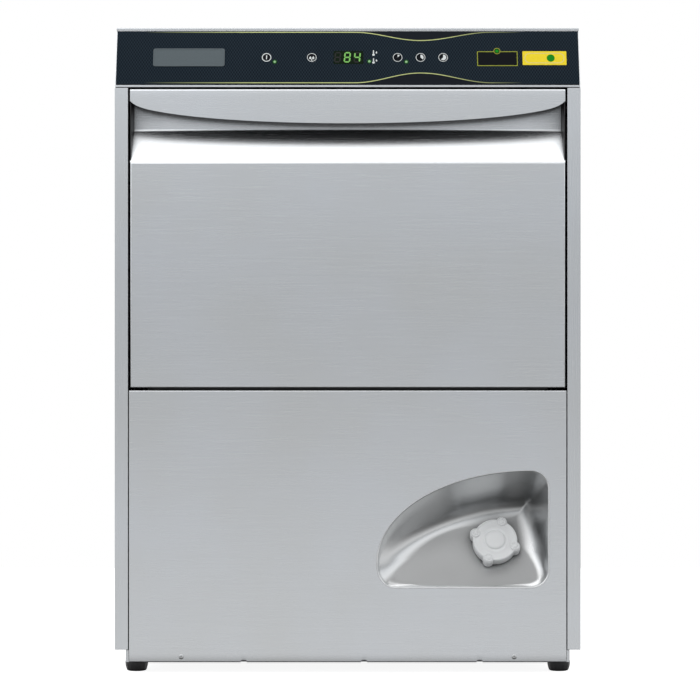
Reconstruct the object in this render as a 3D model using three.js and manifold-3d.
// Undercounter commercial dishwasher: a drop-down door machine with double-skinned door, wash tub,
// rotating wash and rinse arms, wash pump, booster, softener salt container and adjustable feet.
// Millimetres. +X is to the right seen from the front, the front faces -Y, +Z is up.
// The origin is the centre of the footprint, on the floor.

import * as THREE from 'three';
import { mergeVertices } from 'three/addons/utils/BufferGeometryUtils.js';
import Module from 'manifold-3d';

const wasm = await Module();
wasm.setup();

// ---- driving dimensions ----
const WIDTH = 600;
const DEPTH = 612;
const HEIGHT = 836;
const SHEET = 1.5; // stainless sheet thickness
const GAP = 0.3; // clearance between neighbouring pieces
const SEGMENTS = 16; // sides of a round piece

// ---- cabinet ----
const FRONT = -DEPTH / 2;
const BACK = DEPTH / 2;
const SIDE = WIDTH / 2;
const FLANGE = 17; // width of the side panels' front and rear flanges
const SIDE_BOTTOM = 32;
const FLANGE_TOP = 755.6; // the side panels' front edge leans back above this
const TOP_PANEL_Z = 833;
const TRAY_BOTTOM = 16;
const TRAY_TOP = 42;
const TRAY_SHEET = 2;
const RAIL_WIDTH = 13.5; // upright and top rails of the chassis
const RAIL_TOP = 756.4;
const TANK_RAIL_Z = 362; // top of the rails that carry the wash tank

// ---- adjustable feet ----
const FOOT_X = 275.4;
const FOOT_FRONT_Y = -261;
const FOOT_REAR_Y = 240;
const FOOT_PLACES = [
  ['foot_front_left', -FOOT_X, FOOT_FRONT_Y],
  ['foot_front_right', FOOT_X, FOOT_FRONT_Y],
  ['foot_rear_left', -FOOT_X, FOOT_REAR_Y],
  ['foot_rear_right', FOOT_X, FOOT_REAR_Y],
];
const FOOT_STEM = 5; // radius of the threaded stem
const FOOT_BOSS = 9; // radius of the boss that takes it

// ---- rear panel ----
const REAR_HALF = 282.5;
const RECESS_Y = 264; // the connection recess steps forward to here
const RECESS_TOP = 131;
const LOUVRES = { count: 6, left: 60, right: 220, bottom: 640, pitch: 22, height: 6 };

// ---- fascia: a panel that leans back ----
const FASCIA_BOTTOM_Z = 759.9;
const FASCIA_TOP_Z = 832.6;
const FASCIA_LEAN = 26; // how far the top edge sits behind the bottom edge
const FASCIA_ANGLE = Math.atan2(FASCIA_LEAN, FASCIA_TOP_Z - FASCIA_BOTTOM_Z);
const FASCIA_SLOPE = Math.hypot(FASCIA_LEAN, FASCIA_TOP_Z - FASCIA_BOTTOM_Z);
const FASCIA_HALF = 299.2;
const FILM_HALF = 298.8;
const FILM_THICKNESS = 1.2;
const BUTTON_RADIUS = 6.2;
const BUTTON_ROW = 38.7; // height of the buttons up the slope
const BUTTON_PLACES = {
  power_button: -104.9,
  drain_button: -46.4,
  program_button_1: 64.6,
  program_button_2: 94.2,
  program_button_3: 123.4,
};

// ---- door ----
const DOOR_HALF = 280.3;
const DOOR_BOTTOM = 369.5;
const DOOR_TOP = 754.8;
const DOOR_REAR = -272; // rear edge of the outer skin's returns
const RAMP_BOTTOM = 659.5; // the pull recess starts here
const RAMP_TOP = 702.8;
const RECESS_DEPTH = 25;
const VISOR_DROP = 43.2; // height of the visor plate at its centre
const VISOR_ARC = 15.6; // how much its lower edge rises along the arc
const VISOR_CORNER = 10.8; // how much more it rises at the rounded ends

// ---- door hinge and counterbalance ----
const AXIS_Y = -298;
const AXIS_Z = 380;
const LEVER = 50; // lever pin's distance from the hinge axis, 45 degrees below the horizontal
const PIN_RADIUS = 3;
const ROD_Y = -255;
const ROD_X = 277.5;
const GUIDE_Z = 300;
const SPRING_BOTTOM = 128;
const BRACKET_INNER = 264; // the hinge bracket's plate, from the middle
const BRACKET_OUTER = 267.4;
const ARM_INNER = 270; // the hinge arm's plate, from the middle
const ARM_OUTER = 274;
const ARM_CLEARANCE = 2.2; // the skin's bottom return is notched from this depth for the bracket arms

// ---- lower front panel and its salt pocket ----
const PANEL_HALF = 282;
const PANEL_BOTTOM = 15.5;
const PANEL_TOP = 366;
const STRIP_TOP = 29.5; // below this fold the panel leans back
const STRIP_LEAN = 1;
const SCREW_HEAD = 3.3; // sits in a shallow counterbore
const SCREW_PLACES = [-214.5, 214.5];
const SCREW_Z = 23;
const SLOT_PLACES = [-134, 21, 170]; // notches in the lower edge
const POCKET = { left: 39, right: 258, bottom: 113.2, middle: 152, top: 261, corner: 22, arcCentre: 236 };
const FLOOR_ANGLE = THREE.MathUtils.degToRad(27.5); // pocket floor, from the vertical
const FLOOR_START = 4; // depth of the pocket floor at its lower edge
const CAP_X = 191;
const CAP_Z = 165.4;
const CAP_RADIUS = 29;
const CAP_LOBE = 5;
const CAP_HEIGHT = 18;

// ---- wash chamber ----
const TUB_HALF = 262;
const TUB_FRONT = -262;
const TUB_BACK = 262;
const TUB_BOTTOM = 364;
const TUB_TOP = 754;
const TUB_CORNER = 22;
const SILL_TOP = 402;
const RACK = { half: 250, front: -257, back: 243, bottom: 415.5, height: 110 };
const TANK_FLOOR = 292;
const BASKET = { x: 85, y: -60, radius: 34, bottom: 302 };
const FILTER_TOP = 368;

// ---- machine compartment ----
const UNIT_FLOOR = TRAY_BOTTOM + TRAY_SHEET + GAP; // the units stand on the base tray
const PUMP = { y: 40, z: 122, outletX: -90, suctionX: -104 };
const BOOSTER = { x: -190, y: 150, bottom: 54, top: 236, radius: 75, wall: 2 };
const DRAIN_PUMP = { x: 112, y: 150, z: 78 };
const DOSING = { left: 204, right: 262, front: 200, back: 246, height: 58, bottoms: [60, 134] };
const CONNECTION_Y = RECESS_Y + GAP;

// ---- materials ----
function material(color, roughness, metalness) {
  return new THREE.MeshStandardMaterial({ color, roughness, metalness });
}
const steel = () => material(0xb4b8b8, 0.34, 1.0);
const polished = () => material(0xc9cccc, 0.16, 1.0);
const galvanised = () => material(0x9a9fa1, 0.5, 0.9);
const film = () => material(0x24313c, 0.3, 0.0);
const blackPlastic = () => material(0x121314, 0.5, 0.0);
const greyPlastic = () => material(0xc6c8c8, 0.42, 0.0);
const whitePlastic = () => material(0xe4e5e2, 0.45, 0.0);
const bluePlastic = () => material(0x2f5f96, 0.5, 0.0);
const rubber = () => material(0x1c1d1e, 0.85, 0.0);
const board = () => material(0x1f6b45, 0.6, 0.0);
const copper = () => material(0xb87445, 0.35, 1.0);
const castMetal = () => material(0x5d666c, 0.55, 0.4);

// ---- geometry helpers ----
function toSolid(geometry) {
  const bare = geometry.clone();
  bare.deleteAttribute('normal');
  bare.deleteAttribute('uv');
  const merged = mergeVertices(bare, 1e-4);
  const triVerts = Uint32Array.from(merged.index.array);
  const vertProperties = Float32Array.from(merged.attributes.position.array);
  let solid = new wasm.Manifold(new wasm.Mesh({ numProp: 3, vertProperties, triVerts }));
  if (solid.volume() < 0) {
    for (let i = 0; i < triVerts.length; i += 3) {
      [triVerts[i], triVerts[i + 1]] = [triVerts[i + 1], triVerts[i]];
    }
    solid = new wasm.Manifold(new wasm.Mesh({ numProp: 3, vertProperties, triVerts }));
  }
  return solid;
}

function toGeometry(solid) {
  const mesh = solid.getMesh();
  const geometry = new THREE.BufferGeometry();
  const positions = new Float32Array(mesh.vertProperties.length / mesh.numProp * 3);
  for (let i = 0; i < positions.length / 3; i += 1) {
    for (let axis = 0; axis < 3; axis += 1) {
      positions[i * 3 + axis] = mesh.vertProperties[i * mesh.numProp + axis];
    }
  }
  geometry.setAttribute('position', new THREE.BufferAttribute(positions, 3));
  geometry.setIndex(new THREE.BufferAttribute(Uint32Array.from(mesh.triVerts), 1));
  geometry.computeVertexNormals();
  return geometry;
}

function join(...solids) {
  return solids.reduce((whole, piece) => whole.add(piece));
}

function cut(solid, ...tools) {
  return tools.reduce((whole, tool) => whole.subtract(tool), solid);
}

function box(x0, x1, y0, y1, z0, z1) {
  const geometry = new THREE.BoxGeometry(x1 - x0, y1 - y0, z1 - z0);
  geometry.translate((x0 + x1) / 2, (y0 + y1) / 2, (z0 + z1) / 2);
  return toSolid(geometry);
}

// A box given by its distances from the middle plane, on one side (-1 left, 1 right).
function sideBox(side, inner, outer, y0, y1, z0, z1) {
  return box(Math.min(side * inner, side * outer), Math.max(side * inner, side * outer), y0, y1, z0, z1);
}

function outline(points) {
  return new THREE.Shape(points.map(([a, b]) => new THREE.Vector2(a, b)));
}

function extrude(points, length) {
  return new THREE.ExtrudeGeometry(outline(points), { depth: length, bevelEnabled: false, curveSegments: 8 });
}

// Extrudes a profile of [y, z] points from x0 to x1.
function extrudeX(points, x0, x1) {
  const turn = new THREE.Matrix4().makeBasis(
    new THREE.Vector3(0, 1, 0), new THREE.Vector3(0, 0, 1), new THREE.Vector3(1, 0, 0));
  const geometry = extrude(points, x1 - x0).applyMatrix4(turn);
  return toSolid(geometry.translate(x0, 0, 0));
}

// Extrudes a profile of [x, z] points from y0 to y1.
function extrudeY(points, y0, y1) {
  const turn = new THREE.Matrix4().makeBasis(
    new THREE.Vector3(1, 0, 0), new THREE.Vector3(0, 0, 1), new THREE.Vector3(0, -1, 0));
  const geometry = extrude(points, y1 - y0).applyMatrix4(turn);
  return toSolid(geometry.translate(0, y1, 0));
}

// Extrudes a profile of [x, y] points from z0 to z1.
function extrudeZ(points, z0, z1) {
  return toSolid(extrude(points, z1 - z0).translate(0, 0, z0));
}

// Turns a profile of [radius, height] points about the Z axis.
function lathe(profile, segments = SEGMENTS) {
  const points = profile.map(([radius, height]) => new THREE.Vector2(radius, height));
  const geometry = new THREE.LatheGeometry(points, segments);
  return toSolid(geometry.rotateX(Math.PI / 2));
}

function closedLathe(profile, segments = SEGMENTS) {
  return lathe([...profile, profile[0]], segments);
}

function place(solid, x, y, z, axis = 'z') {
  const matrix = new THREE.Matrix4();
  if (axis === 'x') matrix.makeRotationY(Math.PI / 2);
  if (axis === 'y') matrix.makeRotationX(-Math.PI / 2);
  matrix.setPosition(x, y, z);
  return solid.transform(matrix.elements);
}

function rod(x, y, z, radius, length, axis = 'z', segments = SEGMENTS) {
  return place(lathe([[0, 0], [radius, 0], [radius, length], [0, length]], segments), x, y, z, axis);
}

function ring(outer, inner, z0, z1, segments = SEGMENTS) {
  return closedLathe([[inner, z0], [outer, z0], [outer, z1], [inner, z1]], segments);
}

// A round bar along a curve.
function bar(points, radius, steps, sides = 8) {
  const curve = new THREE.CatmullRomCurve3(points.map(([x, y, z]) => new THREE.Vector3(x, y, z)));
  const section = [];
  for (let i = 0; i < sides; i += 1) {
    const angle = (i / sides) * 2 * Math.PI;
    section.push([radius * Math.cos(angle), radius * Math.sin(angle)]);
  }
  const geometry = new THREE.ExtrudeGeometry(
    outline(section), { steps, extrudePath: curve, bevelEnabled: false });
  return toSolid(geometry);
}

// A closed solid through rings of equally many points, the first and last ring capped.
function loft(rings) {
  const count = rings[0].length;
  const positions = rings.flat().flat();
  const indices = [];
  for (let r = 0; r < rings.length - 1; r += 1) {
    for (let i = 0; i < count; i += 1) {
      const next = (i + 1) % count;
      const a = r * count + i;
      const b = r * count + next;
      indices.push(a, b, b + count, a, b + count, a + count);
    }
  }
  const capRing = (ringIndex, flip) => {
    const centre = [0, 1, 2].map((axis) => rings[ringIndex].reduce((sum, p) => sum + p[axis], 0) / count);
    const hub = positions.length / 3;
    positions.push(...centre);
    for (let i = 0; i < count; i += 1) {
      const a = ringIndex * count + i;
      const b = ringIndex * count + (i + 1) % count;
      indices.push(...(flip ? [hub, b, a] : [hub, a, b]));
    }
  };
  capRing(0, true);
  capRing(rings.length - 1, false);
  const geometry = new THREE.BufferGeometry();
  geometry.setAttribute('position', new THREE.Float32BufferAttribute(positions, 3));
  geometry.setIndex(indices);
  return toSolid(geometry);
}

function rectangle(halfX, halfY, corner, steps = 3) {
  const points = [];
  const corners = [[1, 1, 0], [-1, 1, 90], [-1, -1, 180], [1, -1, 270]];
  for (const [signX, signY, start] of corners) {
    for (let i = 0; i <= steps; i += 1) {
      const angle = THREE.MathUtils.degToRad(start + (i / steps) * 90);
      points.push([
        signX * (halfX - corner) + corner * Math.cos(angle),
        signY * (halfY - corner) + corner * Math.sin(angle),
      ]);
    }
  }
  return points;
}

const assembly = new THREE.Group();
const fascia = new THREE.Group();
fascia.position.set(0, FRONT, FASCIA_BOTTOM_Z);
fascia.rotation.x = -FASCIA_ANGLE;
assembly.add(fascia);

// The cap's own frame: its axis stands square on the pocket floor.
function capMatrix() {
  const matrix = new THREE.Matrix4().makeRotationX(Math.PI / 2 - FLOOR_ANGLE);
  return matrix.setPosition(CAP_X, FRONT + floorDepth(CAP_Z), CAP_Z);
}

const capBase = new THREE.Group();
capBase.applyMatrix4(capMatrix());
assembly.add(capBase);

function node(name, solid, look, parent = assembly) {
  const mesh = new THREE.Mesh(toGeometry(solid), look);
  mesh.name = name;
  parent.add(mesh);
}

// ---- cabinet ----
function makeBaseTray() {
  const shell = cut(
    box(-286, 286, -289, 292, TRAY_BOTTOM, TRAY_TOP),
    box(-286 + TRAY_SHEET, 286 - TRAY_SHEET, -289 + TRAY_SHEET, 292 - TRAY_SHEET,
      TRAY_BOTTOM + TRAY_SHEET, TRAY_TOP + 1));
  const bosses = FOOT_PLACES.map(([, x, y]) => rod(x, y, TRAY_BOTTOM, FOOT_BOSS, 20));
  const bores = FOOT_PLACES.map(([, x, y]) => rod(x, y, TRAY_BOTTOM - 1, FOOT_STEM + 0.4, 30));
  node('base_tray', cut(join(shell, ...bosses), ...bores), galvanised());
}

function makeFeet() {
  const profile = [
    [0, 0], [13.8, 0], [14.9, 1.2], [14.9, 9], [14, 13.5], [FOOT_STEM, 13.5], [FOOT_STEM, 64], [0, 64],
  ];
  for (const [name, x, y] of FOOT_PLACES) {
    node(name, place(lathe(profile), x, y, 0), blackPlastic());
  }
}

// A point on the leaning fascia: inward of its face and up its slope, as [y, z].
function fasciaPoint(inward, up) {
  return [
    FRONT + inward * Math.cos(FASCIA_ANGLE) + up * Math.sin(FASCIA_ANGLE),
    FASCIA_BOTTOM_Z - inward * Math.sin(FASCIA_ANGLE) + up * Math.cos(FASCIA_ANGLE),
  ];
}

function makeSidePanels() {
  const cutaway = [
    [FRONT - 10, FLANGE_TOP],
    [FRONT + 2.1, FLANGE_TOP],
    fasciaPoint(3.4, 90),
    [FRONT - 10, 860],
  ];
  for (const side of [-1, 1]) {
    const outer = side * SIDE;
    const inner = side * (SIDE - SHEET);
    const edge = side * (SIDE - FLANGE);
    const channel = [
      [outer, FRONT], [edge, FRONT], [edge, FRONT + SHEET], [inner, FRONT + SHEET],
      [inner, BACK - SHEET], [edge, BACK - SHEET], [edge, BACK], [outer, BACK],
    ];
    const panel = cut(
      extrudeZ(channel, SIDE_BOTTOM, TOP_PANEL_Z - GAP),
      extrudeX(cutaway, -SIDE - 5, SIDE + 5));
    node(side < 0 ? 'side_panel_left' : 'side_panel_right', panel, steel());
  }
}

function makeTopPanel() {
  const front = FRONT + FASCIA_LEAN - 0.6;
  const slab = box(-SIDE, SIDE, front, BACK, TOP_PANEL_Z, HEIGHT);
  const hollow = box(-SIDE + 4, SIDE - 4, front + 4, BACK - 4, TOP_PANEL_Z - 1, HEIGHT - SHEET);
  node('top_panel', cut(slab, hollow), steel());
}

// The rear panel steps forward at the bottom to make room for the connections.
function makeRearPanel() {
  const face = BACK - 2;
  const profile = [
    [face - SHEET, RECESS_TOP], [face - SHEET, 831], [face, 831], [face, RECESS_TOP - SHEET],
    [RECESS_Y, RECESS_TOP - SHEET], [RECESS_Y, 43], [RECESS_Y - SHEET, 43], [RECESS_Y - SHEET, RECESS_TOP],
  ];
  let panel = extrudeX(profile, -REAR_HALF, REAR_HALF);
  for (let row = 0; row < LOUVRES.count; row += 1) {
    const z = LOUVRES.bottom + row * LOUVRES.pitch;
    panel = cut(panel, box(LOUVRES.left, LOUVRES.right, face - 4, BACK, z, z + LOUVRES.height));
  }
  node('rear_panel', panel, steel());
}

function makeChassisFrame() {
  const pieces = [];
  const outer = SIDE - 2;
  const inner = outer - RAIL_WIDTH;
  const crossBottom = RAIL_TOP - 1.6;
  for (const side of [-1, 1]) {
    pieces.push(sideBox(side, inner, outer, -303, -287, TRAY_TOP + GAP, RAIL_TOP));
    pieces.push(sideBox(side, inner, outer, 284, 302, TRAY_TOP + GAP, RAIL_TOP));
    pieces.push(sideBox(side, inner, outer, -303, 302, RAIL_TOP - 16.4, RAIL_TOP));
    pieces.push(sideBox(side, 290.5, outer, -290, -195, TANK_RAIL_Z - 16, TANK_RAIL_Z));
    pieces.push(sideBox(side, 270, outer, -200, 286, TANK_RAIL_Z - 16, TANK_RAIL_Z));
  }
  pieces.push(box(-outer, outer, -262, -246, crossBottom, 772));
  pieces.push(box(-outer, outer, 264, 302, crossBottom, 772));
  node('chassis_frame', join(...pieces), galvanised());
}

// ---- lower front panel ----
// Depth of the pocket floor behind the front plane, at height z.
function floorDepth(z) {
  return FLOOR_START + (z - POCKET.bottom) * Math.tan(FLOOR_ANGLE);
}

// The pocket's outline: straight below and on the right, one quarter ellipse at the upper left.
function pocketOutline(grow = 0) {
  const { left, right, bottom, middle, top, corner, arcCentre } = POCKET;
  const points = [];
  const arc = (cx, cz, rx, rz, from, to, steps) => {
    for (let i = 0; i <= steps; i += 1) {
      const angle = THREE.MathUtils.degToRad(from + (i / steps) * (to - from));
      points.push([cx + (rx + grow) * Math.cos(angle), cz + (rz + grow) * Math.sin(angle)]);
    }
  };
  arc(right - corner, bottom + corner, corner, corner, -90, 0, 4);
  arc(right - corner, top - corner, corner, corner, 0, 90, 4);
  arc(arcCentre, middle, arcCentre - left, top - middle, 94, 180, 12);
  arc(left + corner, bottom + corner + 6, corner, corner + 6, 180, 270, 4);
  return points;
}

// The pocket's walls draw in towards the floor, most on the left and least on the right.
function pocketFloor(points) {
  const slope = Math.tan(FLOOR_ANGLE);
  return points.map(([x, z], i) => {
    const [x0, z0] = points[(i + points.length - 1) % points.length];
    const [x1, z1] = points[(i + 1) % points.length];
    const length = Math.hypot(x1 - x0, z1 - z0);
    const inX = -(z1 - z0) / length;
    const inZ = (x1 - x0) / length;
    const draw = 0.8 + 0.35 * inX;
    const depth = (FLOOR_START + (z - POCKET.bottom) * slope) / (1 - inZ * draw * slope);
    return [x + inX * draw * depth, FRONT + Math.max(depth, FLOOR_START), z + inZ * draw * depth];
  });
}

function makeLowerFrontPanel() {
  // Folded section: top return, flat front, a bottom strip that leans back, and a bottom return.
  const section = extrudeX([
    [FRONT, PANEL_TOP], [FRONT, STRIP_TOP], [FRONT + STRIP_LEAN, PANEL_BOTTOM], [FRONT + 15, PANEL_BOTTOM],
    [FRONT + 15, PANEL_BOTTOM + SHEET], [FRONT + STRIP_LEAN + SHEET, PANEL_BOTTOM + SHEET],
    [FRONT + SHEET, STRIP_TOP], [FRONT + SHEET, PANEL_TOP - SHEET], [FRONT + 8, PANEL_TOP - SHEET],
    [FRONT + 8, PANEL_TOP],
  ], -PANEL_HALF, PANEL_HALF);
  const sides = [-1, 1].map((side) => sideBox(
    side, PANEL_HALF - SHEET, PANEL_HALF, FRONT + 0.5, FRONT + 15, STRIP_TOP, PANEL_TOP - 20));
  const holes = SCREW_PLACES.flatMap((x) => [
    rod(x, FRONT - 1, SCREW_Z, 2.6, 8, 'y'), rod(x, FRONT - 1, SCREW_Z, SCREW_HEAD + GAP, 2.1, 'y')]);
  const slots = SLOT_PLACES.map((x) => box(x - 4, x + 4, FRONT - 1, FRONT + 9, PANEL_BOTTOM - 1, 19));
  const opening = extrudeY(pocketOutline(), FRONT - 1, FRONT + 4);
  node('lower_front_panel', cut(join(section, ...sides), opening, ...holes, ...slots), steel());
}

function makePanelScrews() {
  const profile = [[0, 0.1], [2.6, 0.2], [SCREW_HEAD, 0.5], [SCREW_HEAD, 1], [2.2, 1], [2.2, 12], [0, 12]];
  for (const x of SCREW_PLACES) {
    const name = x < 0 ? 'panel_screw_left' : 'panel_screw_right';
    node(name, place(lathe(profile, 12), x, FRONT, SCREW_Z, 'y'), polished());
  }
}

// A drawn recess: flange behind the panel, walls that draw in, and the leaning floor with a hole.
function makeSaltPocket() {
  const mouth = FRONT + SHEET + GAP;
  const at = (points, y) => points.map(([x, z]) => [x, y, z]);
  const inner = pocketOutline(-0.4);
  const outer = pocketOutline(1.4);
  const innerFloor = pocketFloor(inner);
  const outerFloor = pocketFloor(inner).map(([x, y, z], i) => [
    x + outer[i][0] - inner[i][0], y + 1.8, z + outer[i][1] - inner[i][1]]);
  const body = loft([at(outer, mouth), outerFloor]);
  const hollow = loft([at(inner, mouth - 1), at(inner, mouth + 0.1), innerFloor]);
  const flange = extrudeY(pocketOutline(9), mouth, mouth + SHEET);
  const neckHole = rod(0, 0, -30, 25, 60).transform(capMatrix().elements);
  node('salt_pocket', cut(join(body, flange), hollow, neckHole), steel());
}

// The salt container stands behind the pocket; its neck comes out through the pocket floor.
function makeSaltContainer() {
  const reach = 36; // from the pocket floor back to the container's sloping face
  const faceY = FRONT + floorDepth(CAP_Z) + reach * Math.cos(FLOOR_ANGLE);
  const faceZ = CAP_Z - reach * Math.sin(FLOOR_ANGLE);
  const onFace = (along) => [
    faceY + along * Math.sin(FLOOR_ANGLE),
    faceZ + along * Math.cos(FLOOR_ANGLE),
  ];
  const wall = 3;
  const floor = 60;
  const back = -120;
  const left = 128;
  const right = 254;
  const low = onFace(-48);
  const high = onFace(50);
  const outer = [[low[0], floor], low, high, [back, high[1]], [back, floor]];
  const inner = [
    [low[0] + wall, floor + wall],
    [low[0] + wall, low[1] - 1],
    [high[0] + wall, high[1] - wall],
    [back - wall, high[1] - wall],
    [back - wall, floor + wall],
  ];
  const tank = cut(extrudeX(outer, left, right), extrudeX(inner, left + wall, right - wall));
  const neck = rod(0, 0, -reach - 0.5, 24, reach + 4.7).transform(capMatrix().elements);
  const bore = rod(0, 0, -reach - 12, 20, reach + 30).transform(capMatrix().elements);
  node('salt_container', cut(join(tank, neck), bore), whitePlastic());
}

function makeSaltCap() {
  const points = [];
  const steps = 32;
  for (let i = 0; i < steps; i += 1) {
    const angle = (i / steps) * 2 * Math.PI;
    const lobe = Math.max(0, Math.cos(4 * (angle - THREE.MathUtils.degToRad(70))));
    const radius = CAP_RADIUS + CAP_LOBE * Math.pow(lobe, 1.5);
    points.push([radius * Math.cos(angle), radius * Math.sin(angle)]);
  }
  const body = extrudeZ(points, 0.8, CAP_HEIGHT - 2);
  const dome = lathe([[0, 12], [14, 12], [14, CAP_HEIGHT - 1], [11, CAP_HEIGHT], [0, CAP_HEIGHT]]);
  node('salt_cap', cut(join(body, dome), rod(0, 0, 0, 25.4, 8)), greyPlastic(), capBase);
  node('salt_cap_seal', ring(23.5, 12, 4.6, 7.4), rubber(), capBase);
}

// ---- fascia ----
function makeFasciaBracket() {
  const sheet = extrudeX([
    fasciaPoint(FILM_THICKNESS + GAP, 0),
    fasciaPoint(FILM_THICKNESS + GAP, FASCIA_SLOPE),
    fasciaPoint(3.0, FASCIA_SLOPE),
    fasciaPoint(3.0, 0),
  ], -FASCIA_HALF, FASCIA_HALF);
  const hem = box(-FASCIA_HALF, FASCIA_HALF, FRONT, FRONT + 1.7, 756.7, 759.2);
  const hemReturn = extrudeX([
    [FRONT, 756.7], [FRONT, 759.2], fasciaPoint(1.5, 0.2), fasciaPoint(3.0, 0.2), [-290, 758.4], [-290, 756.7],
  ], -SIDE + 1.8, SIDE - 1.8);
  const topReturn = extrudeX([
    fasciaPoint(1.5, FASCIA_SLOPE), [-262, FASCIA_TOP_Z - 0.5], [-262, FASCIA_TOP_Z - 2], fasciaPoint(3, 75.4),
    fasciaPoint(1.5, 75.4),
  ], -SIDE + 1.8, SIDE - 1.8);
  const turn = new THREE.Matrix4().makeRotationX(-FASCIA_ANGLE).setPosition(0, FRONT, FASCIA_BOTTOM_Z);
  const tools = Object.values(BUTTON_PLACES).map((x) => rod(x, -1, BUTTON_ROW, 4, 8, 'y'));
  tools.push(box(-19, 21, 1, 4.5, 29, 48));
  const holes = tools.map((tool) => tool.transform(turn.elements));
  node('fascia_bracket', cut(join(sheet, hem, hemReturn, topReturn), ...holes), steel());
}

function makeFasciaFilm() {
  const sheet = box(-FILM_HALF, FILM_HALF, 0, FILM_THICKNESS, 0.6, FASCIA_SLOPE - 0.4);
  const holes = Object.values(BUTTON_PLACES).map((x) => rod(x, -1, BUTTON_ROW, BUTTON_RADIUS + 0.3, 4, 'y'));
  node('fascia_film', cut(sheet, ...holes), film(), fascia);
}

function makeButtons() {
  for (const [name, x] of Object.entries(BUTTON_PLACES)) {
    const profile = [[0, 0], [BUTTON_RADIUS, 0], [BUTTON_RADIUS, 0.45], [3, 0.45], [3, 9.2], [0, 9.2]];
    node(name, place(lathe(profile), x, 0, BUTTON_ROW, 'y'), film(), fascia);
  }
}

function makeControlBoard() {
  const pcb = box(-145, 155, 14, 15.6, 12, 62);
  const switches = Object.values(BUTTON_PLACES).map((x) => box(x - 5, x + 5, 10.5, 14.5, 34, 44));
  const display = box(-16, 18, 6, 14.5, 30, 47);
  const relays = [-120, -85, 90, 120].map((x) => box(x - 10, x + 10, 15, 28, 16, 34));
  node('control_board', join(pcb, display, ...switches, ...relays), board(), fascia);
}

// ---- door ----
function makeDoorSkin() {
  const outer = [
    [FRONT, DOOR_BOTTOM], [FRONT, RAMP_BOTTOM], [FRONT + RECESS_DEPTH, RAMP_TOP], [FRONT + RECESS_DEPTH, 753],
    [DOOR_REAR, 753], [DOOR_REAR, DOOR_BOTTOM],
  ];
  const inner = [
    [FRONT + SHEET, DOOR_BOTTOM + SHEET], [FRONT + SHEET, RAMP_BOTTOM + 0.4],
    [FRONT + RECESS_DEPTH + SHEET, RAMP_TOP + 0.4], [FRONT + RECESS_DEPTH + SHEET, 751.5],
    [DOOR_REAR + 1, 751.5], [DOOR_REAR + 1, DOOR_BOTTOM + SHEET],
  ];
  const shell = cut(
    extrudeX(outer, -DOOR_HALF, DOOR_HALF),
    extrudeX(inner, -DOOR_HALF + SHEET, DOOR_HALF - SHEET));
  const ends = [-1, 1].map((side) => sideBox(
    side, DOOR_HALF - SHEET, DOOR_HALF, FRONT + SHEET + GAP, DOOR_REAR, RAMP_BOTTOM, 753));
  const clearances = [];
  for (const side of [-1, 1]) {
    clearances.push(sideBox(
      side, BRACKET_INNER - 3, DOOR_HALF - SHEET, FRONT + ARM_CLEARANCE, DOOR_REAR + 1, 365, 372));
    clearances.push(sideBox(side, DOOR_HALF - SHEET - 0.2, DOOR_HALF + 1, -282, DOOR_REAR + 1, 365, 379));
  }
  node('door_outer_skin', cut(join(shell, ...ends), ...clearances), steel());
}

function makeDoorVisor() {
  const points = [[-DOOR_HALF, DOOR_TOP], [DOOR_HALF, DOOR_TOP]];
  const steps = 28;
  for (let i = 0; i <= steps; i += 1) {
    const u = Math.cos((i / steps) * Math.PI);
    const rise = VISOR_ARC * u * u + VISOR_CORNER * Math.pow(Math.abs(u), 9);
    points.push([u * DOOR_HALF, DOOR_TOP - VISOR_DROP + rise]);
  }
  const plate = extrudeY(points, FRONT, FRONT + SHEET);
  const top = box(-DOOR_HALF, DOOR_HALF, FRONT, DOOR_REAR, 753.3, DOOR_TOP);
  node('door_visor', join(plate, top), steel());
}

function makeDoorInnerPanel() {
  const upper = box(-278, 278, DOOR_REAR + GAP, -270, SILL_TOP, 750.5);
  const lower = box(-260.5, 260.5, DOOR_REAR + GAP, -270, DOOR_BOTTOM + GAP, SILL_TOP);
  const stiffener = box(-230, 230, DOOR_REAR - 6, -270, 470, 690);
  const hollow = box(-226, 226, DOOR_REAR - 4.5, -268, 474, 686);
  const magnet = box(204, 226, -279.3, -271, 728, 746); // closes the door switch through the sheet
  node('door_inner_panel', cut(join(upper, lower, stiffener, magnet), hollow), steel());
}

// Plates that carry the door on its pins, each with a lever that lifts its spring rod, and a cross bar.
function makeHingeArms() {
  const arms = [-1, 1].map((side) => {
    const plate = sideBox(side, ARM_INNER, ARM_OUTER, -303, -275, AXIS_Z, 445);
    const boss = rod(side < 0 ? -ARM_OUTER : ARM_INNER, AXIS_Y, AXIS_Z, 6, ARM_OUTER - ARM_INNER, 'x');
    const lever = leverBar(side);
    const pinStart = side < 0 ? -282 : ARM_OUTER - 1;
    const [pinY, pinZ] = leverPin();
    const pin = rod(pinStart, pinY, pinZ, PIN_RADIUS, 9, 'x');
    return join(plate, boss, lever, pin);
  });
  const crossTube = box(-272, 272, -297, -285, 422, 436);
  const bores = [-1, 1].map((side) => rod(
    side < 0 ? -280 : 264, AXIS_Y, AXIS_Z, PIN_RADIUS + 0.1, 16, 'x'));
  node('hinge_arms', cut(join(...arms, crossTube), ...bores), galvanised());
}

function leverPin() {
  return [AXIS_Y + LEVER * Math.SQRT1_2, AXIS_Z - LEVER * Math.SQRT1_2];
}

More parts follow.
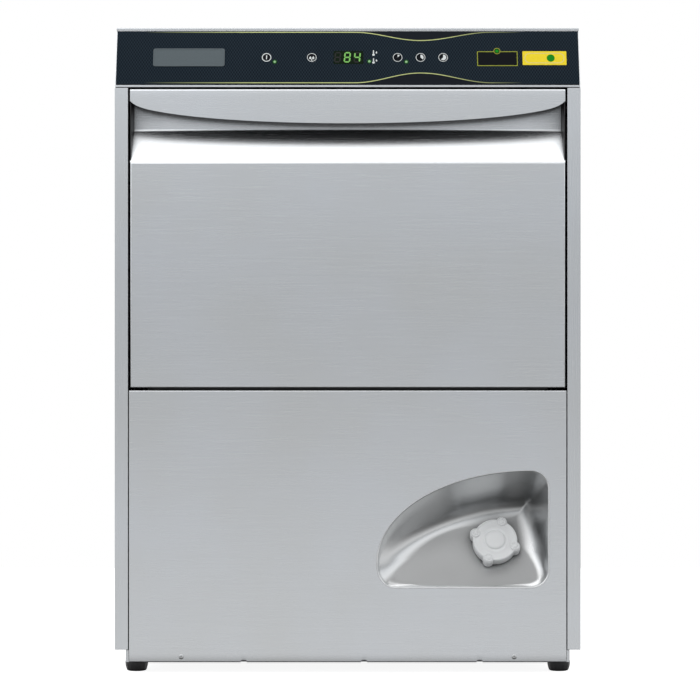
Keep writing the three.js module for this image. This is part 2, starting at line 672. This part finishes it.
function leverBar(side) {
  const half = 5.5;
  const offset = half * Math.SQRT1_2;
  const [pinY, pinZ] = leverPin();
  const profile = [
    [AXIS_Y - offset, AXIS_Z - offset], [pinY - offset, pinZ - offset],
    [pinY + offset, pinZ - offset * 0.2], [pinY + offset, pinZ + offset], [AXIS_Y + offset, AXIS_Z + offset],
  ];
  const start = side < 0 ? -ARM_OUTER : ARM_INNER;
  const tip = rod(start, pinY, pinZ, half, ARM_OUTER - ARM_INNER, 'x');
  return join(extrudeX(profile, start, start + ARM_OUTER - ARM_INNER), tip);
}

function makeHingeBrackets() {
  for (const side of [-1, 1]) {
    const [x0, x1] = side < 0 ? [-BRACKET_OUTER, -BRACKET_INNER] : [BRACKET_INNER, BRACKET_OUTER];
    const arm = extrudeX([[AXIS_Y, 374.6], [-268, 374.6], [-268, 385.4], [AXIS_Y, 385.4]], x0, x1);
    const eye = rod(x0, AXIS_Y, AXIS_Z, 5.4, x1 - x0, 'x');
    const plate = extrudeX([[-269, 290], [-202, 290], [-202, 390], [-269, 390]], x0, x1);
    const shelf = sideBox(side, BRACKET_INNER, 289.5, -272, -236, GUIDE_Z, GUIDE_Z + 3);
    const pin = rod(side < 0 ? -276 : 266, AXIS_Y, AXIS_Z, PIN_RADIUS, 10, 'x');
    const rodBore = rod(side * ROD_X, ROD_Y, GUIDE_Z - 1, 4.6, 6);
    const bracket = cut(join(arm, eye, plate, shelf, pin), rodBore);
    node(side < 0 ? 'hinge_bracket_left' : 'hinge_bracket_right', bracket, galvanised());
  }
}

// Each rod hangs from its lever pin by a slotted yoke and squeezes its spring as it rises.
function makeSpringRods() {
  const [, pinZ] = leverPin();
  for (const side of [-1, 1]) {
    const end = side < 0 ? 'left' : 'right';
    const yoke = sideBox(side, 275.5, 279.5, -273, -237, pinZ - 10, pinZ + 10);
    const slot = sideBox(side, 275, 280, -267.6, -242.6, pinZ - 4.9, pinZ + 4.9);
    const stem = rod(side * ROD_X, ROD_Y, SPRING_BOTTOM - 4, 4, pinZ - 9 - SPRING_BOTTOM + 4);
    const washer = rod(side * ROD_X, ROD_Y, SPRING_BOTTOM - 4, 11, 4);
    node(`spring_rod_${end}`, join(cut(yoke, slot), stem, washer), polished());
    const spring = ring(9.6, 7.2, SPRING_BOTTOM + GAP, GUIDE_Z - GAP);
    node(`door_spring_${end}`, place(spring, side * ROD_X, ROD_Y, 0), galvanised());
  }
}

// ---- wash chamber ----
function makeWashTub() {
  const half = (TUB_TOP - TUB_BOTTOM) / 2;
  const middle = (TUB_TOP + TUB_BOTTOM) / 2;
  const lift = (points) => points.map(([x, z]) => [x, z + middle]);
  const outer = lift(rectangle(TUB_HALF, half, TUB_CORNER));
  const inner = lift(rectangle(TUB_HALF - SHEET, half - SHEET, TUB_CORNER - SHEET));
  const shell = cut(
    extrudeY(outer, TUB_FRONT, TUB_BACK),
    extrudeY(inner, TUB_FRONT - 1, TUB_BACK - SHEET));
  const drain = extrudeZ(rectangle(212, 197, 20), TUB_BOTTOM - 5, TUB_BOTTOM + 5);
  const sill = box(-TUB_HALF + 0.5, TUB_HALF - 0.5, TUB_FRONT, TUB_FRONT + 3, TUB_BOTTOM + 1, SILL_TOP);
  const header = box(-TUB_HALF + 20, TUB_HALF - 20, TUB_FRONT, TUB_FRONT + SHEET, 738, TUB_TOP - 0.5);
  const flanges = [-1, 1].map((side) => sideBox(
    side, TUB_HALF - SHEET, 276, TUB_FRONT - SHEET, TUB_FRONT, 434, 736));
  node('wash_tub', join(cut(shell, drain), sill, header, ...flanges), steel());
}

function makeDoorGasket() {
  const outer = box(-275, 275, -269.7, TUB_FRONT - SHEET - GAP, 434, 752.6);
  const inner = box(-263.5, 263.5, -271, -262, 430, 740);
  node('door_gasket', cut(outer, inner), rubber());
}

function makeWashTank() {
  const level = (points, z) => points.map(([x, y]) => [x, y, z]);
  const rim = TUB_BOTTOM - GAP;
  const outer = loft([level(rectangle(130, 120, 20), TANK_FLOOR), level(rectangle(210, 195, 20), rim)]);
  const inner = loft([
    level(rectangle(130 - SHEET, 120 - SHEET, 19), TANK_FLOOR + SHEET),
    level(rectangle(210 - SHEET, 195 - SHEET, 19), TUB_BOTTOM),
  ]);
  const flange = extrudeZ(rectangle(235, 220, 20), rim - SHEET, rim);
  const feed = rod(0, 0, TANK_FLOOR - 4, 16, 10);
  const suction = rod(PUMP.suctionX, PUMP.y, TANK_FLOOR - 4, 11, 10);
  node('wash_tank', cut(join(outer, flange), inner, feed, suction), steel());
}

function makeFilters() {
  const plate = cut(
    box(-232, 232, -216, 216, FILTER_TOP - 2, FILTER_TOP),
    rod(0, 0, 360, 27.5, 20),
    rod(BASKET.x, BASKET.y, 360, BASKET.radius + 1.5, 20));
  node('surface_filter', plate, steel());
  const { radius, bottom } = BASKET;
  const rimBottom = FILTER_TOP + 0.4;
  const rimTop = FILTER_TOP + 2;
  const profile = [
    [0, bottom], [radius, bottom], [radius, rimBottom], [radius + 12, rimBottom], [radius + 12, rimTop],
    [radius - SHEET, rimTop], [radius - SHEET, bottom + SHEET], [0, bottom + SHEET],
  ];
  node('filter_basket', place(lathe(profile), BASKET.x, BASKET.y, 0), steel());
}

function makeRackRails() {
  const rails = [-1, 1].map((side) => join(
    sideBox(side, 238, 260.2, -240, 240, 413.7, 415.2),
    sideBox(side, 258.7, 260.2, -240, 240, 396, 415.2)));
  const stop = box(-260.2, 260.2, 244, 246, 400, 428);
  const ties = [-1, 1].map((side) => sideBox(side, 240, 260.2, 238, 246, 400, 415.2));
  node('rack_rails', join(...rails, ...ties, stop), steel());
}

function makeManifolds() {
  const lower = lathe([
    [0, 294], [26, 294], [26, 381], [8, 381], [8, 399.6], [5, 399.6],
    [5, 409.4], [9, 409.4], [9, 413.4], [0, 413.4],
  ]);
  node('lower_manifold', lower, blackPlastic());
  const hub = lathe([
    [0, 694], [9, 694], [9, 698.6], [5, 698.6], [5, 712.6],
    [8, 712.6], [8, 730], [24, 730], [24, 752], [0, 752],
  ]);
  const roof = box(-20, 20, -20, 260.2, 738, 752.2);
  const riser = box(-20, 20, 246, 260.2, 430, 752.2);
  node('upper_manifold', join(hub, roof, riser), steel());
}

// A spray arm: a hub with a bore and two tapered blades, with jets along the top.
function sprayArm(z0, z1, reach, width, hubRadius, bore, turn) {
  const section = (x, half, low, high) => [
    [x, -half, low], [x, half, low], [x, half * 0.8, high], [x, -half * 0.8, high]];
  const blade = loft([
    section(-reach, width * 0.3, z0 + 1.5, z1 - 1),
    section(-reach * 0.3, width * 0.5, z0, z1),
    section(reach * 0.3, width * 0.5, z0, z1),
    section(reach, width * 0.3, z0 + 1.5, z1 - 1),
  ]);
  const hub = rod(0, 0, z0, hubRadius, z1 - z0);
  const arm = cut(join(blade, hub), rod(0, 0, z0 - 1, bore, z1 - z0 + 2));
  return arm.rotate([0, 0, turn]);
}

function makeSprayArms() {
  node('lower_wash_arm', sprayArm(384, 397, 226, 36, 22, 8.6, 28), steel());
  node('lower_rinse_arm', sprayArm(400.6, 408.6, 214, 18, 13, 5.6, -52), steel());
  node('upper_wash_arm', sprayArm(715, 728, 226, 36, 22, 8.6, -24), steel());
  node('upper_rinse_arm', sprayArm(701, 709, 214, 18, 13, 5.6, 62), steel());
}

function makeTankHeater() {
  const geometry = new THREE.TorusGeometry(150, 4, 6, 40);
  geometry.scale(1.0, 0.96, 1).translate(0, 0, 334);
  node('tank_heater', toSolid(geometry), polished());
}

function makeGlassRack() {
  const { half, front, back, bottom, height } = RACK;
  const wall = 3;
  const floor = 5;
  let rack = cut(
    box(-half, half, front, back, bottom, bottom + height),
    box(-half + wall, half - wall, front + wall, back - wall, bottom + floor, bottom + height + 1));
  const cells = 4;
  const pitch = (2 * half) / cells;
  const rib = 5;
  const holes = [];
  for (let i = 0; i < cells; i += 1) {
    for (let j = 0; j < cells; j += 1) {
      const x = -half + i * pitch;
      const y = front + j * pitch;
      holes.push(box(x + rib, x + pitch - rib, y + rib, y + pitch - rib, bottom - 1, bottom + floor + 1));
    }
  }
  for (let i = 0; i < cells; i += 1) {
    const x = -half + i * pitch;
    const y = front + i * pitch;
    holes.push(box(x + 12, x + pitch - 12, front - 1, back + 1, bottom + 22, bottom + 82));
    holes.push(box(-half - 1, half + 1, y + 12, y + pitch - 12, bottom + 22, bottom + 82));
  }
  rack = cut(rack, ...holes);
  node('glass_rack', rack, bluePlastic());
}

// ---- machine compartment: the units behind the lower front panel ----
function makeWashPump() {
  const motor = join(
    place(lathe([[0, 0], [52, 0], [58, 8], [58, 120], [50, 140], [0, 140]]), -66, PUMP.y, PUMP.z, 'x'),
    box(-40, 70, PUMP.y - 40, PUMP.y + 40, UNIT_FLOOR, PUMP.z - 40));
  const shaftBore = rod(-70, PUMP.y, PUMP.z, 6.4, 44, 'x');
  node('wash_pump_motor', cut(motor, shaftBore), castMetal());
  const profile = [[18, 0], [60, 0], [60, 40], [8, 40], [8, 34], [54, 34], [54, 4], [18, 4]];
  const casing = place(closedLathe(profile), -110, PUMP.y, PUMP.z, 'x');
  const outlet = rod(PUMP.outletX, PUMP.y, PUMP.z + 50, 14, 36);
  const passage = rod(PUMP.outletX, PUMP.y, PUMP.z + 45, 11, 50);
  const nozzle = rod(-110, PUMP.y, PUMP.z, 20, 3, 'x');
  const suction = bar([
    [-108, PUMP.y, PUMP.z], [-126, PUMP.y, PUMP.z], [-144, PUMP.y, 150], [-144, PUMP.y, 220],
    [-112, PUMP.y, 262], [PUMP.suctionX, PUMP.y, TANK_FLOOR - 1],
  ], 10, 14);
  node('wash_pump_volute', cut(join(casing, outlet, nozzle, suction), passage), blackPlastic());
  const rotor = lathe([[0, 0], [12, 0], [48, 8], [48, 18], [6, 18], [6, 70], [0, 70]]);
  node('pump_rotor', place(rotor, -102, PUMP.y, PUMP.z, 'x'), whitePlastic());
  const feed = bar([
    [PUMP.outletX, PUMP.y, 208.6], [PUMP.outletX, PUMP.y, 226], [-60, 28, 250], [-14, 6, 268],
    [0, 0, 280], [0, 0, TANK_FLOOR - 1],
  ], 12, 14);
  node('wash_feed_hose', feed, rubber());
}

// A drawn shell, open at the middle of its top, with the heater's flange beside the opening.
function makeBooster() {
  const { x, y, bottom, top, radius, wall } = BOOSTER;
  const shell = lathe([
    [0, bottom], [40, bottom], [radius - 5, bottom + 8], [radius, bottom + 20],
    [radius, top - 20], [radius - 5, top - 8], [40, top], [6, top],
    [6, top - wall], [40, top - wall], [radius - 7, top - 10], [radius - wall, top - 21],
    [radius - wall, bottom + 21], [radius - 7, bottom + 10], [40, bottom + wall], [0, bottom + wall],
  ]);
  const heaterFlange = rod(-30, 0, top - wall, 18, 16);
  node('booster_tank', place(join(shell, heaterFlange), x, y, 0), copper());
}

function makeDrainPump() {
  const { x, y, z } = DRAIN_PUMP;
  const body = lathe([[0, 0], [24, 0], [24, 50], [34, 52], [34, 78], [0, 78]]);
  const foot = box(x + 8, x + 48, y - 22, y + 22, UNIT_FLOOR, z - 18);
  node('drain_pump', join(place(body, x, y, z, 'x'), foot), castMetal());
}

function makeDosingPumps() {
  const { left, right, front, back, height, bottoms } = DOSING;
  const middle = (left + right) / 2;
  const pumps = bottoms.map((z) => join(
    box(left, right, front, back, z, z + height),
    rod(middle, front - 16, z + height / 2, 24, 18, 'y')));
  const plate = box(left, right, back - 2, back + 2, bottoms[0], bottoms[1] + height);
  node('dosing_pumps', join(...pumps, plate), whitePlastic());
}

function makeSmallUnits() {
  node('air_break', box(-296, -268, -40, 120, 450, 650), whitePlastic());
  node('power_box', box(-272, -150, -236, -130, 60, 190), greyPlastic());
  node('door_switch', box(196, 234, -270, -263.5, 757.5, 766), blackPlastic());
}

// Water inlet, drain spigot and cable gland on one plate in the rear recess.
function makeRearConnections() {
  const fitting = (solid, x, z) => place(solid, x, CONNECTION_Y, z, 'y');
  const inlet = lathe([[0, 0], [18, 0], [18, 6], [13, 6], [13, 32], [0, 32]]);
  const drain = closedLathe([[9, 0], [18, 0], [18, 5], [12, 5], [12, 34], [9, 34]]);
  const gland = lathe([[0, 0], [15, 0], [15, 8], [11, 9], [10, 24], [0, 24]], 12);
  const plate = box(-214, 212, CONNECTION_Y, CONNECTION_Y + 1.7, 62, 114);
  const fittings = [fitting(inlet, -190, 86), fitting(drain, 90, 78), fitting(gland, 190, 96)];
  node('rear_connections', join(plate, ...fittings), blackPlastic());
}

makeBaseTray();
makeFeet();
makeSidePanels();
makeTopPanel();
makeRearPanel();
makeChassisFrame();
makeLowerFrontPanel();
makePanelScrews();
makeSaltPocket();
makeSaltContainer();
makeSaltCap();
makeFasciaBracket();
makeFasciaFilm();
makeButtons();
makeControlBoard();
makeDoorSkin();
makeDoorVisor();
makeDoorInnerPanel();
makeHingeArms();
makeHingeBrackets();
makeSpringRods();
makeWashTub();
makeDoorGasket();
makeWashTank();
makeFilters();
makeRackRails();
makeManifolds();
makeSprayArms();
makeTankHeater();
makeGlassRack();
makeWashPump();
makeBooster();
makeDrainPump();
makeDosingPumps();
makeSmallUnits();
makeRearConnections();

export default assembly;
